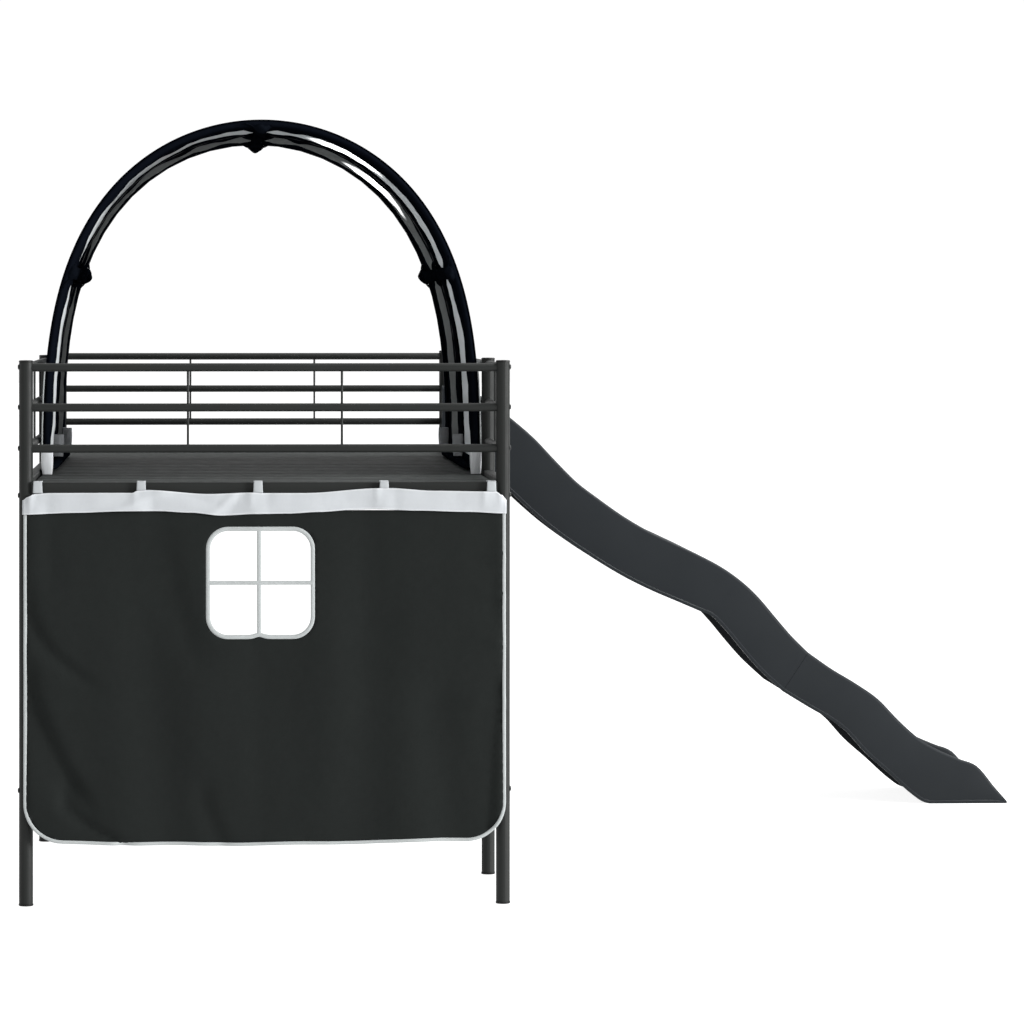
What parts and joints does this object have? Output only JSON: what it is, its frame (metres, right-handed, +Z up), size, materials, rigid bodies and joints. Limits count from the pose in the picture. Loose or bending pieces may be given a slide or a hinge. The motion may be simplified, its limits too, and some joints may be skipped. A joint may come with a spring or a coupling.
{
  "type": "mid-height bed with slide and tunnel",
  "caption": "Raised metal bed with end and side guards, a ladder, a hoop tunnel over the deck, an end play curtain with a window, and a wavy slide.",
  "frame": {"origin": "on the floor, under the middle of the whole object's bounding box", "axes": "+Z up, +Y along the bed from the curtained end to the far end, +X across the bed towards the slide's foot"},
  "size_m": [2.327, 2.0812, 1.592],
  "materials": {
    "dark_steel": "dark grey powder coat, satin",
    "black_plastic": "matt moulded plugs",
    "slide_plastic": "fine-grained moulded plastic",
    "black_cloth": "woven polyester",
    "white_cloth": "woven polyester",
    "fibre_rod": "bent fibre rod"
  },
  "bodies": {
    "bed": {"beam_back": "dark_steel", "beam_centre": "dark_steel", "beam_front": "dark_steel", "beam_left_back": "dark_steel", "beam_left_front": "dark_steel", "beam_left_middle": "dark_steel", "beam_right_back": "dark_steel", "beam_right_front": "dark_steel", "beam_right_middle": "dark_steel", "brace_back": "dark_steel", "brace_front": "dark_steel", "guard_back": "dark_steel", "guard_front": "dark_steel", "guard_left_back": "dark_steel", "guard_left_front": "dark_steel", "guard_right_front": "dark_steel", "guard_right_middle": "dark_steel", "ladder_rung_high": "dark_steel", "ladder_rung_low": "dark_steel", "ladder_rung_middle": "dark_steel", "ladder_stile_far": "dark_steel", "ladder_stile_near": "dark_steel", "slat_panel_back": "dark_steel", "slat_panel_front": "dark_steel", "post_back_left": "dark_steel", "post_back_right": "dark_steel", "post_front_left": "dark_steel", "post_front_right": "dark_steel", "post_ladder_left": "dark_steel", "post_middle_left": "dark_steel", "post_middle_right": "dark_steel", "post_slide_right": "dark_steel", "cap_back_left": "black_plastic", "cap_back_right": "black_plastic", "cap_front_left": "black_plastic", "cap_front_right": "black_plastic", "cap_ladder_left": "black_plastic", "cap_middle_left": "black_plastic", "cap_middle_right": "black_plastic", "cap_slide_right": "black_plastic", "foot_back_left": "black_plastic", "foot_back_right": "black_plastic", "foot_front_left": "black_plastic", "foot_front_right": "black_plastic", "foot_ladder_left": "black_plastic", "foot_middle_left": "black_plastic", "foot_middle_right": "black_plastic", "foot_slide_right": "black_plastic", "slide_upper": "slide_plastic", "slide_lower": "slide_plastic", "tunnel_fabric": "black_cloth", "tunnel_strap_left": "black_cloth", "tunnel_strap_right": "black_cloth", "tunnel_strap_top": "black_cloth", "curtain_band": "white_cloth", "tunnel_hoop_back": "fibre_rod", "tunnel_hoop_front": "fibre_rod", "tunnel_hoop_middle": "fibre_rod"},
    "curtain": {"curtain_panel": "black_cloth"}
  },
  "joints": [
    {"name": "curtain_lift", "type": "hinge", "parent": "bed", "child": "curtain", "pos_m": [-0.6495, -1.0406, 0.785], "axis": [-1, 0, 0], "range_deg": [0, 80]}
  ]
}
